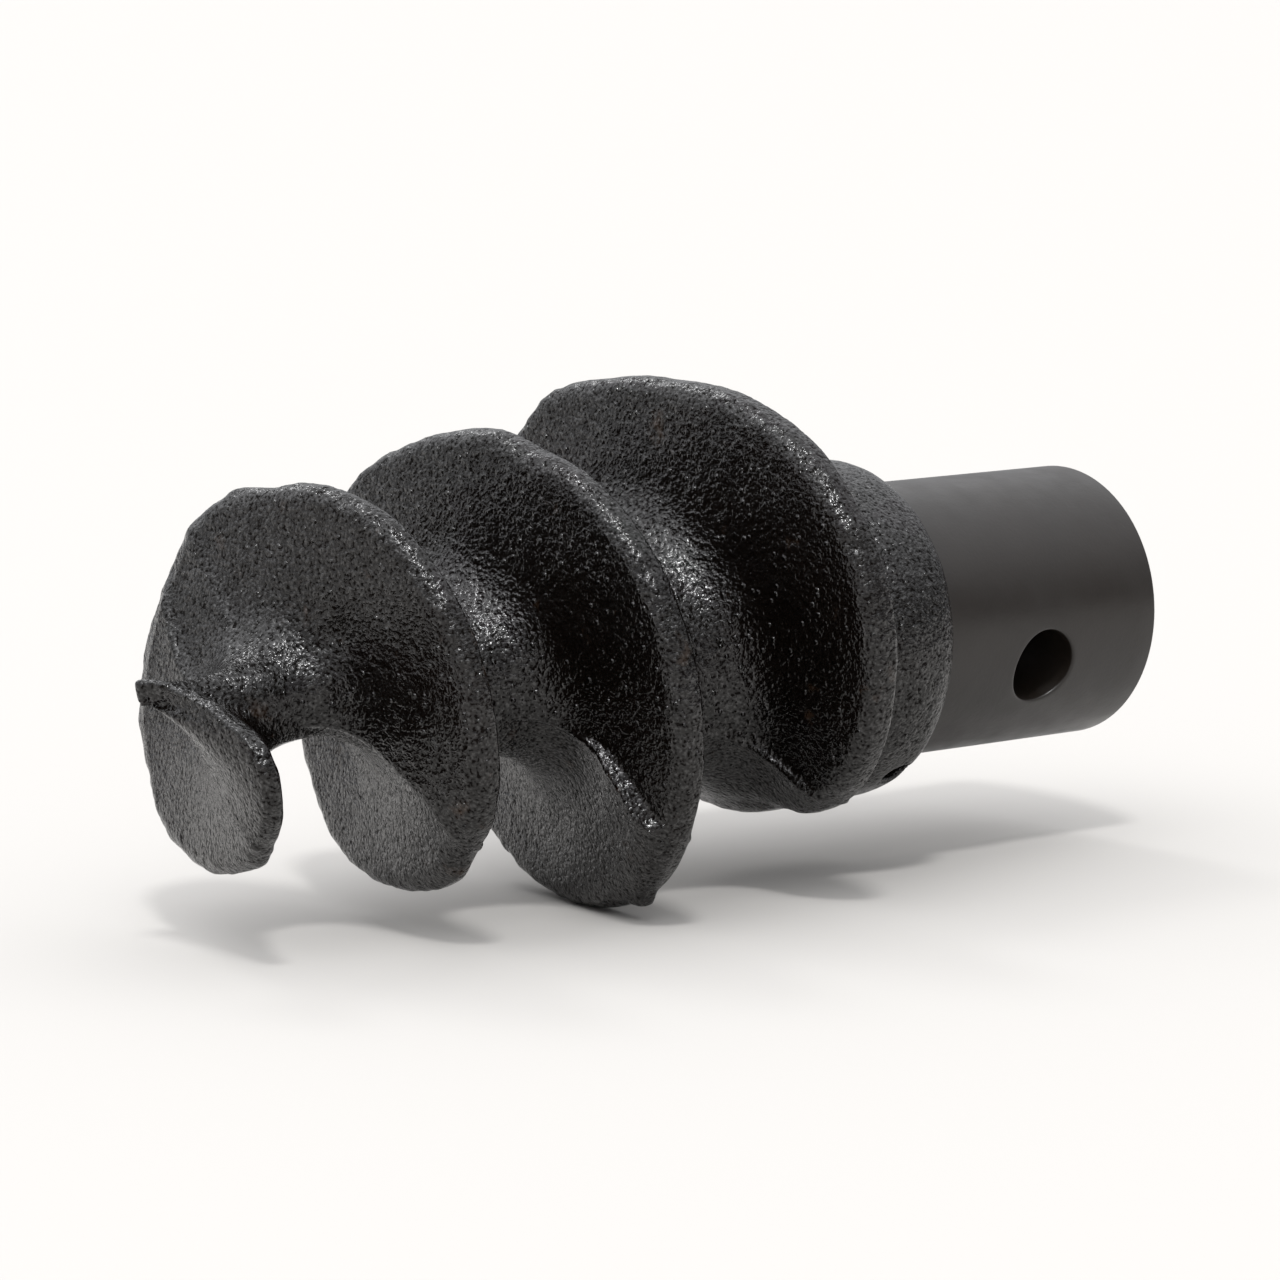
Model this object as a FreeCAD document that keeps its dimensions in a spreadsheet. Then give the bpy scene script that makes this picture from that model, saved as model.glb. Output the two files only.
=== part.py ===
import FreeCAD, Part
import Sketcher
import math
import os

# Cast screw point for an earth auger. All sizes in millimetres.
# Frame: the screw axis is X, from the pointed tip (-X) to the end of the shank (+X).
# The origin is on the axis where the shank leaves the casting, at the collar's rear
# shoulder. +Z is up with the part lying on its side, and -Y is the side with the
# mouth of the bolt hole.
# Clock angles are seen from the tip: 0 is up (+Z), 90 is towards -Y. The screw is
# right-handed, so the clock angle of the flight grows with X.

doc = FreeCAD.newDocument("ScrewPoint")

# ---------------------------------------------------------------- sizes
sheet = doc.addObject("Spreadsheet::Sheet", "Sizes")
sheet.Label = "Sizes"

SIZES = [
    ("ShankRadius", 19.05, "shank, 1 1/2 in bar"),
    ("ShankLength", 40.5, "shank that stands out of the collar"),
    ("ShankChamfer", 0.5, "chamfer on the shank's free end"),
    ("SpigotRadius", 12.7, "turned-down end inside the casting"),
    ("SpigotLength", 30.0, "depth of the turned-down end"),
    ("SpigotChamfer", 1.0, "lead-in chamfer on the spigot"),
    ("SocketRadius", 12.75, "socket in the casting"),
    ("SocketDepth", 31.0, "depth of the socket"),
    ("BoltHoleRadius", 5.3, "cross hole for the auger's bolt"),
    ("BoltHoleX", 19.8, "cross hole, from the shoulder"),
    ("BoltHoleClock", 108.3, "clock angle of the cross hole"),
    ("CollarRadius", 23.1, "outside of the collar"),
    ("CollarRim", 2.7, "rounding of the collar's rear rim"),
    ("TipX", -118.5, "point of the screw"),
    ("PinRadius", 2.0, "slotted spring pin"),
    ("PinBore", 1.2, "inside radius of the spring pin"),
    ("PinLength", 41.0, "spring pin"),
    ("PinSlot", 1.0, "slot of the spring pin"),
    ("PinChamfer", 0.3, "end chamfers of the spring pin"),
    ("PinHoleRadius", 2.03, "hole for the spring pin"),
    ("PinX", -4.1, "spring pin, ahead of the shoulder"),
    ("PinClock", 143.0, "clock angle of the spring pin"),
    ("FlightPitch", 28.3, "pitch of the flight"),
    ("FlightStartX", -110.19, "front edge of the rim at the reference clock angle"),
    ("FlightStartClock", 153.7, "reference clock angle of the flight"),
    ("FlightRadius", 40.6, "largest radius of the flight"),
    ("RimWidthFront", 3.0, "land at the reference clock angle"),
    ("RimWidthGrowth", 1.25, "growth of the land over 1000 degrees"),
    ("RimBevel", 1.1, "worn front corner of the rim, along the axis"),
    ("RimBevelDepth", 2.2, "worn front corner of the rim, along the radius"),
    ("RootFront", 3.6, "root fillet ahead of the flight"),
    ("RootBack", 4.6, "root fillet behind the flight"),
]
for row, (alias, value, words) in enumerate(SIZES, start=1):
    sheet.set("A%d" % row, alias)
    sheet.set("B%d" % row, repr(value))
    sheet.setAlias("B%d" % row, alias)
    sheet.set("C%d" % row, words)
doc.recompute()


def size(alias):
    return float(getattr(sheet, alias))


def plane(body, role):
    for feature in body.Origin.OriginFeatures:
        if feature.Role == role:
            return feature
    raise RuntimeError("no origin plane " + role)


def profile(body, name, points, sizes):
    """A closed outline in the body's XY plane: X along the screw axis, Y the radius.
    sizes lists (point number, 'X' or 'Y', expression) for the ones that are bound."""
    sketch = body.newObject("Sketcher::SketchObject", name)
    sketch.AttachmentSupport = [(plane(body, "XY_Plane"), "")]
    sketch.MapMode = "FlatFace"
    count = len(points)
    for i in range(count):
        a, b = points[i], points[(i + 1) % count]
        sketch.addGeometry(
            Part.LineSegment(FreeCAD.Vector(a[0], a[1], 0), FreeCAD.Vector(b[0], b[1], 0)),
            False,
        )
    for i in range(count):
        sketch.addConstraint(Sketcher.Constraint("Coincident", i, 2, (i + 1) % count, 1))
    bound = {(n, c): e for n, c, e in sizes}
    for i, (x, y) in enumerate(points):
        for letter, value in (("X", x), ("Y", y)):
            kind = "DistanceX" if letter == "X" else "DistanceY"
            number = sketch.addConstraint(
                Sketcher.Constraint(kind, -1, 1, i, 1, float(value))
            )
            if (i, letter) in bound:
                sketch.setExpression("Constraints[%d]" % number, bound[(i, letter)])
    return sketch


def revolve(body, name, sketch):
    turn = body.newObject("PartDesign::Revolution", name)
    turn.Profile = sketch
    turn.ReferenceAxis = (sketch, ["H_Axis"])
    turn.Angle = 360.0
    turn.Midplane = False
    sketch.Visibility = False
    body.Tip = turn
    return turn


def clock_vector(clock):
    a = math.radians(clock)
    return FreeCAD.Vector(0, -math.sin(a), math.cos(a))


def along(axis, centre, clock):
    """Placement of a Part cylinder of the given half length across the screw axis."""
    direction = clock_vector(clock)
    return FreeCAD.Placement(
        centre - direction * axis, FreeCAD.Rotation(FreeCAD.Vector(0, 0, 1), direction)
    )


# ---------------------------------------------------------------- shank
# A turned bar: the full diameter stands out of the collar and a spigot of smaller
# diameter sits in the casting's socket.
shank_bar = doc.addObject("PartDesign::Body", "ShankBar")
r_shank, l_shank, c_end = size("ShankRadius"), size("ShankLength"), size("ShankChamfer")
r_spig, l_spig, c_spig = size("SpigotRadius"), size("SpigotLength"), size("SpigotChamfer")
sketch = profile(
    shank_bar,
    "ShankProfile",
    [
        (-l_spig, 0.0),
        (-l_spig, r_spig - c_spig),
        (-l_spig + c_spig, r_spig),
        (0.0, r_spig),
        (0.0, r_shank),
        (l_shank - c_end, r_shank),
        (l_shank, r_shank - c_end),
        (l_shank, 0.0),
    ],
    [
        (0, "X", "-Sizes.SpigotLength"),
        (1, "X", "-Sizes.SpigotLength"),
        (1, "Y", "Sizes.SpigotRadius - Sizes.SpigotChamfer"),
        (2, "X", "Sizes.SpigotChamfer - Sizes.SpigotLength"),
        (2, "Y", "Sizes.SpigotRadius"),
        (3, "Y", "Sizes.SpigotRadius"),
        (4, "Y", "Sizes.ShankRadius"),
        (5, "X", "Sizes.ShankLength - Sizes.ShankChamfer"),
        (5, "Y", "Sizes.ShankRadius"),
        (6, "X", "Sizes.ShankLength"),
        (6, "Y", "Sizes.ShankRadius - Sizes.ShankChamfer"),
        (7, "X", "Sizes.ShankLength"),
    ],
)
revolve(shank_bar, "ShankTurned", sketch)
# the lathe's start line is turned away from the bolt hole
shank_bar.Placement = FreeCAD.Placement(
    FreeCAD.Vector(0, 0, 0), FreeCAD.Rotation(FreeCAD.Vector(1, 0, 0), -34.2)
)
doc.recompute()

bolt_hole = doc.addObject("Part::Cylinder", "BoltHole")
bolt_hole.setExpression("Radius", "Sizes.BoltHoleRadius")
bolt_hole.Height = 60.0
bolt_hole.Placement = along(
    30.0, FreeCAD.Vector(size("BoltHoleX"), 0, 0), size("BoltHoleClock")
)
shank_drilled = doc.addObject("Part::Cut", "ShankDrilled")
shank_drilled.Base = shank_bar
shank_drilled.Tool = bolt_hole

shank_pin_hole = doc.addObject("Part::Cylinder", "ShankPinHole")
shank_pin_hole.setExpression("Radius", "Sizes.PinHoleRadius")
shank_pin_hole.Height = 60.0
shank_pin_hole.Placement = along(
    30.0, FreeCAD.Vector(size("PinX"), 0, 0), size("PinClock")
)
shank = doc.addObject("Part::Cut", "Shank")
shank.Base = shank_drilled
shank.Tool = shank_pin_hole
shank.Label = "shank"
doc.recompute()

# ---------------------------------------------------------------- casting: core
# A long cone from the point to the collar, with the collar's rounded rear rim.
core_body = doc.addObject("PartDesign::Body", "CoreBody")
x_tip, r_col, c_rim = size("TipX"), size("CollarRadius"), size("CollarRim")
sketch = profile(
    core_body,
    "CoreProfile",
    [
        (x_tip, 0.0),
        (x_tip + 1.0, 0.9),
        (x_tip + 7.0, 2.2),
        (x_tip + 19.0, 5.0),
        (x_tip + 28.0, 6.2),
        (x_tip + 50.0, 10.4),
        (x_tip + 76.0, 16.2),
        (x_tip + 94.0, 20.0),
        (x_tip + 104.0, r_col - 0.9),
        (x_tip + 110.0, r_col),
        (-1.5 * c_rim, r_col),
        (-0.75 * c_rim, r_col - 0.2 * c_rim),
        (-0.25 * c_rim, r_col - 0.6 * c_rim),
        (0.0, r_col - c_rim),
        (0.0, 0.0),
    ],
    [
        (0, "X", "Sizes.TipX"),
        (1, "X", "Sizes.TipX + 1"),
        (2, "X", "Sizes.TipX + 7"),
        (3, "X", "Sizes.TipX + 19"),
        (4, "X", "Sizes.TipX + 28"),
        (5, "X", "Sizes.TipX + 50"),
        (6, "X", "Sizes.TipX + 76"),
        (7, "X", "Sizes.TipX + 94"),
        (8, "X", "Sizes.TipX + 104"),
        (8, "Y", "Sizes.CollarRadius - 0.9"),
        (9, "X", "Sizes.TipX + 110"),
        (9, "Y", "Sizes.CollarRadius"),
        (10, "X", "-1.5 * Sizes.CollarRim"),
        (10, "Y", "Sizes.CollarRadius"),
        (11, "X", "-0.75 * Sizes.CollarRim"),
        (11, "Y", "Sizes.CollarRadius - 0.2 * Sizes.CollarRim"),
        (12, "X", "-0.25 * Sizes.CollarRim"),
        (12, "Y", "Sizes.CollarRadius - 0.6 * Sizes.CollarRim"),
        (13, "Y", "Sizes.CollarRadius - Sizes.CollarRim"),
    ],
)
revolve(core_body, "CoreTurned", sketch)
doc.recompute()

# ---------------------------------------------------------------- casting: flight
# One right-handed flight of a little over three turns. Its rim spirals out from the
# point, keeps growing to the third turn and runs out into the collar.
# (clock angle from the reference frame, rim radius as a share of FlightRadius)
RIM = [
    (-6.3, 0.077), (18.7, 0.091), (38.7, 0.104), (55.7, 0.123), (68.7, 0.157),
    (78.7, 0.206), (84.7, 0.263), (89.7, 0.319), (96.7, 0.433), (102.7, 0.502),
    (108.7, 0.543), (123.7, 0.556), (153.7, 0.545), (183.7, 0.558), (213.7, 0.598),
    (243.7, 0.620), (273.7, 0.630), (303.7, 0.639), (333.7, 0.657), (363.7, 0.647),
    (393.7, 0.661), (423.7, 0.666), (453.7, 0.674), (483.7, 0.684), (513.7, 0.682),
    (543.7, 0.691), (573.7, 0.726), (603.7, 0.741), (633.7, 0.771), (663.7, 0.767),
    (693.7, 0.769), (723.7, 0.769), (753.7, 0.777), (783.7, 0.797), (813.7, 0.812),
    (843.7, 0.832), (873.7, 0.834), (903.7, 0.812), (933.7, 0.813), (963.7, 0.836),
    (993.7, 0.842), (1023.7, 0.857), (1053.7, 0.904), (1083.7, 0.903), (1113.7, 0.960),
    (1143.7, 0.999), (1158.7, 0.979), (1173.7, 0.938), (1188.7, 0.884), (1203.7, 0.804),
    (1218.7, 0.696), (1233.7, 0.576), (1263.7, 0.535), (1303.7, 0.516),
]
CORE = [(0.0, 0.3), (7.0, 1.5), (19.0, 3.9), (28.0, 5.0), (50.0, 9.0), (76.0, 14.6), (94.0, 18.4), (104.0, 20.4), (125.0, 20.8)]


def between(table, at):
    if at <= table[0][0]:
        return table[0][1]
    for (x0, y0), (x1, y1) in zip(table, table[1:]):
        if at <= x1:
            return y0 + (y1 - y0) * (at - x0) / (x1 - x0)
    return table[-1][1]


def smooth(table, at):
    """Monotone cubic through the table, so that the rim has no kinks."""
    n = len(table)
    xs = [p[0] for p in table]
    ys = [p[1] for p in table]
    h = [xs[i + 1] - xs[i] for i in range(n - 1)]
    d = [(ys[i + 1] - ys[i]) / h[i] for i in range(n - 1)]
    m = [d[0]] + [
        0.0
        if d[i - 1] * d[i] <= 0
        else 3 * (h[i - 1] + h[i])
        / ((2 * h[i] + h[i - 1]) / d[i - 1] + (h[i] + 2 * h[i - 1]) / d[i])
        for i in range(1, n - 1)
    ] + [d[-1]]
    if at <= xs[0]:
        return ys[0]
    if at >= xs[-1]:
        return ys[-1]
    i = max(j for j in range(n - 1) if xs[j] <= at)
    t = (at - xs[i]) / h[i]
    return (
        (1 + 2 * t) * (1 - t) ** 2 * ys[i]
        + t * (1 - t) ** 2 * h[i] * m[i]
        + t * t * (3 - 2 * t) * ys[i + 1]
        + t * t * (t - 1) * h[i] * m[i + 1]
    )


pitch, x_ref, a_ref = size("FlightPitch"), size("FlightStartX"), size("FlightStartClock")
r_max = size("FlightRadius")
w_front, w_grow = size("RimWidthFront"), size("RimWidthGrowth")
b_axial, b_radial = size("RimBevel"), size("RimBevelDepth")
root_f, root_b = size("RootFront"), size("RootBack")


def flight_x(clock):
    """Front edge of the rim. The first third of a turn runs closer to the point."""
    x = x_ref + pitch * (clock - a_ref) / 360.0
    if clock < 103.7:
        x_104 = x_ref + pitch * (103.7 - a_ref) / 360.0
        t = (clock - RIM[0][0]) / (103.7 - RIM[0][0])
        x = x_tip + 0.05 + (x_104 - x_tip - 0.05) * t ** 1.15
    return x


def section(clock):
    """The flight's outline in the half plane through the axis at this clock angle."""
    x, r = flight_x(clock), smooth(RIM, clock) * r_max
    land = w_front + w_grow * (clock - a_ref) / 1000.0
    grow = min(1.0, max(0.12, (clock + 20.0) / 170.0))
    land *= min(1.0, max(0.25, (clock + 40.0) / 190.0))
    front, back = root_f * grow, root_b * grow
    core = between(CORE, x - x_tip)
    inner = max(0.25, 0.55 * core)
    inner = min(inner, 0.55 * r)
    knee = core + 0.30 * max(0.3, r - core)
    if knee > 0.93 * r:
        knee = 0.93 * r
    if inner > 0.9 * knee:
        inner = 0.9 * knee
    worn = min(1.0, max(0.25, (clock - 54.0) / 60.0))
    deep = min(b_radial * worn, 0.45 * (r - knee))
    near = min(b_axial * worn, 0.4 * land)
    points = [
        (x - front, inner),
        (x - 0.085 * (r - knee), knee),
        (x, r - deep),
        (x + 0.6 * near, r - 0.35 * deep),
        (x + 1.4 * near, r),
        (x + land, r - 0.1 * land),
        (x + land + 0.11 * (r - knee), knee),
        (x + land + back, inner),
    ]
    out = clock_vector(clock)
    nodes = [FreeCAD.Vector(px, out.y * pr, out.z * pr) for px, pr in points]
    return Part.makePolygon(nodes + [nodes[0]])


# The flight is built in lengths of half a turn, end to end, and joined to the core.
ends = [RIM[0][0]] + [180.0 * i for i in range(1, 7)] + [RIM[-1][0]]
lengths = []
for number, (first, last) in enumerate(zip(ends, ends[1:]), start=1):
    count = max(6, int(round((last - first) / 12.0)))
    clocks = [first + (last - first) * i / count for i in range(count + 1)]
    stretch = doc.addObject("Part::Feature", "Flight%d" % number)
    stretch.Shape = Part.makeLoft([section(c) for c in clocks], True, False, False)
    stretch.Placement = FreeCAD.Placement()
    lengths.append(stretch)

casting_solid = doc.addObject("Part::MultiFuse", "CastingSolid")
casting_solid.Shapes = [core_body] + lengths
casting_solid.Refine = False

socket = doc.addObject("Part::Cylinder", "Socket")
socket.setExpression("Radius", "Sizes.SocketRadius")
socket.setExpression("Height", "Sizes.SocketDepth + 5")
socket.Placement = FreeCAD.Placement(
    FreeCAD.Vector(-size("SocketDepth"), 0, 0),
    FreeCAD.Rotation(FreeCAD.Vector(0, 0, 1), FreeCAD.Vector(1, 0, 0)),
)
casting_bored = doc.addObject("Part::Cut", "CastingBored")
casting_bored.Base = casting_solid
casting_bored.Tool = socket
casting_bored.Refine = False

cast_pin_hole = doc.addObject("Part::Cylinder", "CastPinHole")
cast_pin_hole.setExpression("Radius", "Sizes.PinHoleRadius")
cast_pin_hole.Height = 60.0
cast_pin_hole.Placement = along(
    30.0, FreeCAD.Vector(size("PinX"), 0, 0), size("PinClock")
)
casting = doc.addObject("Part::Cut", "Casting")
casting.Base = casting_bored
casting.Tool = cast_pin_hole
casting.Refine = False
casting.Label = "screw_casting"
doc.recompute()

# ---------------------------------------------------------------- spring pin
# A rolled pin with a slot along it, driven through the collar and the spigot, its
# ends a little below the collar's surface.
pin_body = doc.addObject("PartDesign::Body", "SpringPinBody")
r_pin, r_in, l_pin, c_pin = size("PinRadius"), size("PinBore"), size("PinLength"), size("PinChamfer")
sketch = profile(
    pin_body,
    "SpringPinProfile",
    [
        (-l_pin / 2, r_in),
        (-l_pin / 2, r_pin - c_pin),
        (-l_pin / 2 + c_pin, r_pin),
        (l_pin / 2 - c_pin, r_pin),
        (l_pin / 2, r_pin - c_pin),
        (l_pin / 2, r_in),
    ],
    [
        (0, "X", "-Sizes.PinLength / 2"),
        (0, "Y", "Sizes.PinBore"),
        (1, "X", "-Sizes.PinLength / 2"),
        (1, "Y", "Sizes.PinRadius - Sizes.PinChamfer"),
        (2, "X", "Sizes.PinChamfer - Sizes.PinLength / 2"),
        (2, "Y", "Sizes.PinRadius"),
        (3, "X", "Sizes.PinLength / 2 - Sizes.PinChamfer"),
        (3, "Y", "Sizes.PinRadius"),
        (4, "X", "Sizes.PinLength / 2"),
        (4, "Y", "Sizes.PinRadius - Sizes.PinChamfer"),
        (5, "X", "Sizes.PinLength / 2"),
        (5, "Y", "Sizes.PinBore"),
    ],
)
revolve(pin_body, "SpringPinTube", sketch)
doc.recompute()
pin_slot = doc.addObject("Part::Box", "SpringPinSlot")
pin_slot.setExpression("Length", "Sizes.PinLength + 4")
pin_slot.setExpression("Width", "Sizes.PinSlot")
pin_slot.setExpression("Height", "Sizes.PinRadius + 1")
pin_slot.Placement = FreeCAD.Placement(
    FreeCAD.Vector(-l_pin / 2 - 2, -size("PinSlot") / 2, 0), FreeCAD.Rotation()
)
pin = doc.addObject("Part::Cut", "SpringPin")
pin.Base = pin_body
pin.Tool = pin_slot
pin.Label = "spring_pin"
pin.Placement = FreeCAD.Placement(
    FreeCAD.Vector(size("PinX"), 0, 0),
    FreeCAD.Rotation(FreeCAD.Vector(1, 0, 0), clock_vector(size("PinClock"))),
)
doc.recompute()

# ---------------------------------------------------------------- checks and files
for item in doc.Objects:
    states = [str(s) for s in item.State]
    if any("Invalid" in s or "Error" in s for s in states):
        raise RuntimeError("%s is %s" % (item.Name, states))

bar = math.pi * (r_shank ** 2 * l_shank + r_spig ** 2 * l_spig)
if not shank.Shape.Volume < bar - 2000:
    raise RuntimeError("the shank's holes cut too little")
if not casting.Shape.Volume < casting_solid.Shape.Volume - 10000:
    raise RuntimeError("the socket cut too little")
if not casting_solid.Shape.Volume > core_body.Shape.Volume + 20000:
    raise RuntimeError("the flight added too little")

os.makedirs("parts", exist_ok=True)
for item in (casting, shank, pin):
    shape = item.Shape
    if shape.isNull() or not shape.isValid():
        raise RuntimeError(item.Label + " has no valid shape")
    solids = len(shape.Solids)
    if solids != 1:
        raise RuntimeError("%s has %d solids" % (item.Label, solids))
    box = shape.BoundBox
    print(
        "%s: %.1f cm3, %d faces, box %.2f..%.2f %.2f..%.2f %.2f..%.2f"
        % (
            item.Label,
            shape.Volume / 1000,
            len(shape.Faces),
            box.XMin,
            box.XMax,
            box.YMin,
            box.YMax,
            box.ZMin,
            box.ZMax,
        )
    )
    shape.exportStep("parts/%s.step" % item.Label)
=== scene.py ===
import math

import bpy
import numpy as np
from mathutils import Matrix, Vector


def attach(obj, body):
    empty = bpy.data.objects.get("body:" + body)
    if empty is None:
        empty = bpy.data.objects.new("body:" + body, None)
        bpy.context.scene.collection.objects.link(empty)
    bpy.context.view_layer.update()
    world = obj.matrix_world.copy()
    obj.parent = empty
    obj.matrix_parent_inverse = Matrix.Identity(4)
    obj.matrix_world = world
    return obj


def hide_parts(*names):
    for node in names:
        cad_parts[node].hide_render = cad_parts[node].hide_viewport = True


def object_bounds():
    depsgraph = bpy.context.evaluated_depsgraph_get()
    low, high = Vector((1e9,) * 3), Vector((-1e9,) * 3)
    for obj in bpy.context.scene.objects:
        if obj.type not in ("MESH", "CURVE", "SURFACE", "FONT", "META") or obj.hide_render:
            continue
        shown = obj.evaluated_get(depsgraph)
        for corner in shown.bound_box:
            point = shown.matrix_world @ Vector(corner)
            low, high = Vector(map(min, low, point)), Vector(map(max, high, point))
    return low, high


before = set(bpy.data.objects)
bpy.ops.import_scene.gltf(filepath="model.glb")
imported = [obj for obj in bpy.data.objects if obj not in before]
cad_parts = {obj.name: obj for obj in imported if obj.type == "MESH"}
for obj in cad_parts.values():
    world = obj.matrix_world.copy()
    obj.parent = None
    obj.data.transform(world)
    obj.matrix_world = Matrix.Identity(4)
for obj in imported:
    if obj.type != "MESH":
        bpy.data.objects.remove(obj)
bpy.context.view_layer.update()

# The camera, first. All places below are in metres in the CAD frame: X along the
# screw from the point to the shank's end, origin where the shank leaves the collar.
RS = 0.01905
cam_data = bpy.data.cameras.new("Camera")
cam = bpy.data.objects.new("Camera", cam_data)
bpy.context.scene.collection.objects.link(cam)
cam_data.sensor_width = 36.0
cam_data.lens = 147.02
cam_data.clip_start, cam_data.clip_end = 0.02, 60.0
cam_data.dof.use_dof = False
right = Vector((0.77064, -0.63727, 0.0))
up = Vector((0.09039, 0.10925, 0.98990))
back = Vector((-0.63083, -0.76286, 0.14177))
spot = Vector((-18.85, -27.93, 5.25)) * RS + Vector((-0.1185, 0.0, 0.0))
cam.matrix_world = Matrix(
    (
        (right.x, up.x, back.x, spot.x),
        (right.y, up.y, back.y, spot.y),
        (right.z, up.z, back.z, spot.z),
        (0.0, 0.0, 0.0, 1.0),
    )
)
bpy.context.scene.camera = cam

# ------------------------------------------------------------------ geometry: casting
# Lengths in this block are in millimetres; angles are clock angles seen from the
# point, 0 at the top and 90 towards -Y. The flight's tables are in shank radii.
R_SH = 19.05
TIP_X = -118.5
CLOCK0 = 6.3
PITCH = 1.485

RIM_TABLE = [
    (-60, 0.02), (-25, 0.1), (0, 0.165), (25, 0.195), (45, 0.222), (62, 0.262), (75, 0.335),
    (85, 0.44), (91, 0.56), (96, 0.68), (103, 0.951), (109, 1.072), (115, 1.144), (130, 1.185),
    (145, 1.163), (160, 1.168), (175, 1.15), (190, 1.186), (205, 1.235), (220, 1.278),
    (235, 1.307), (250, 1.32), (265, 1.345), (280, 1.347), (295, 1.328), (310, 1.346),
    (325, 1.416), (340, 1.416), (355, 1.358), (370, 1.382), (385, 1.388), (400, 1.414),
    (415, 1.409), (430, 1.42), (445, 1.427), (460, 1.432), (475, 1.457), (490, 1.468),
    (505, 1.423), (520, 1.463), (535, 1.448), (550, 1.467), (565, 1.516), (580, 1.556),
    (595, 1.556), (610, 1.564), (625, 1.63), (640, 1.645), (655, 1.65), (670, 1.609),
    (685, 1.671), (700, 1.629), (715, 1.629), (730, 1.651), (745, 1.621), (760, 1.657),
    (775, 1.681), (790, 1.7), (805, 1.713), (820, 1.73), (835, 1.751), (850, 1.767), (865, 1.783),
    (880, 1.774), (895, 1.754), (910, 1.722), (925, 1.722), (940, 1.725), (955, 1.755),
    (970, 1.79), (985, 1.79), (1000, 1.79), (1015, 1.81), (1030, 1.815), (1045, 1.859),
    (1060, 1.965), (1075, 1.913), (1090, 1.906), (1105, 1.971), (1120, 2.045), (1135, 2.101),
    (1150, 2.12), (1165, 2.086), (1180, 2), (1195, 1.888), (1210, 1.715), (1225, 1.474),
    (1240, 1.223), (1255, 1.151), (1270, 1.141), (1285, 1.192), (1310, 1.1), (1330, 1),
]
# small departures of the flight from a true helix, along the axis
WAVE_TABLE = [
    (-60, 0.0), (110, 0.0), (160, 0.04), (250, 0.0), (340, -0.05), (430, 0.0), (520, 0.04),
    (610, 0.0), (700, -0.05), (790, 0.0), (880, 0.04), (970, 0.0), (1060, -0.05),
    (1150, 0.0), (1330, 0.0),
]
CORE_TABLE = [
    (-0.5, 0.0), (0.0, 0.012), (0.15, 0.06), (0.5, 0.14), (1.0, 0.27), (1.45, 0.325), (2.0, 0.41),
    (2.6, 0.54), (3.3, 0.70), (4.0, 0.85), (4.8, 1.02), (5.2, 1.11), (5.5, 1.17),
    (5.8, 1.215), (6.0, 1.21), (6.12, 1.18), (6.19, 1.13), (6.24, 1.05), (6.5, 1.0),
]
# clock angle of the mould's parting ridge on the fronts of the flights, along the screw
PART_TABLE = [(-0.5, 148.0), (0.9, 148.0), (1.5, 136.0), (2.2, 136.0), (2.9, 124.0), (3.3, 124.0), (4.5, 132.0), (7.0, 134.0)]
# corners where the halves' rims meet: clock angle, height and half width
# how far the faces are ruled along the draw before the lower and the upper parting plane
DRAW_LOW, DRAW_HIGH, DRAW_LATE = 0.78, 0.08, 0.35
STEP_HIGH = 0.13
# the front faces lean forward towards the core, more on one side than the other
TAPER_F, SWAY, SWAY_AT = 0.084, 0.062, 60.0
# size of the fillet between the core and the flight, and where it is largest
FILLET, FILLET_SWAY, FILLET_AT = 0.36, -0.09, 60.0
RIM_CORNERS = [(156.0, 0.012, 4.0), (515.0, 0.012, 4.0), (878.0, 0.06, 2.6), (1226.0, 0.012, 4.0)]


def monotone(table, n=4000):
    """A dense, smooth reading of a table, with no overshoot between its points."""
    xs = np.array([p[0] for p in table], float)
    ys = np.array([p[1] for p in table], float)
    h = np.diff(xs)
    d = np.diff(ys) / h
    m = np.zeros(len(xs))
    m[0], m[-1] = d[0], d[-1]
    for i in range(1, len(xs) - 1):
        if d[i - 1] * d[i] > 0:
            m[i] = 3 * (h[i - 1] + h[i]) / (
                (2 * h[i] + h[i - 1]) / d[i - 1] + (h[i] + 2 * h[i - 1]) / d[i]
            )
    at = np.linspace(xs[0], xs[-1], n)
    i = np.clip(np.searchsorted(xs, at, side="right") - 1, 0, len(xs) - 2)
    t = (at - xs[i]) / h[i]
    y = (
        (1 + 2 * t) * (1 - t) ** 2 * ys[i]
        + t * (1 - t) ** 2 * h[i] * m[i]
        + t * t * (3 - 2 * t) * ys[i + 1]
        + t * t * (t - 1) * h[i] * m[i + 1]
    )
    return at, y


RIM_X, RIM_Y = monotone(RIM_TABLE)
WAVE_X, WAVE_Y = monotone(WAVE_TABLE)
CORE_X, CORE_Y = monotone(CORE_TABLE)
PART_X, PART_Y = monotone(PART_TABLE)
PHI_LO, PHI_HI = RIM_TABLE[0][0], RIM_TABLE[-1][0]


def flight_front(phi):
    """Axial place of the rim's front edge, in shank radii behind the point."""
    line = 0.436 + PITCH * (phi - 160.0) / 360.0
    early = 0.230 * (np.clip(phi, 0.0, 110.0) / 110.0) ** 1.15
    return np.where(phi < 110.0, early, line) + np.interp(phi, WAVE_X, WAVE_Y)


def land_width(phi):
    grown = 0.157 + 0.066 * (phi - 160.0) / 1000.0
    young = 0.058 + 0.099 * np.clip(phi / 160.0, 0.0, 1.0)
    return np.where(phi < 160.0, young, grown)


def smin(a, b, k):
    t = np.clip(0.5 + 0.5 * (b - a) / k, 0.0, 1.0)
    return b + (a - b) * t - k * t * (1.0 - t)


def smax(a, b, k):
    return -smin(-a, -b, k)


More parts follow.
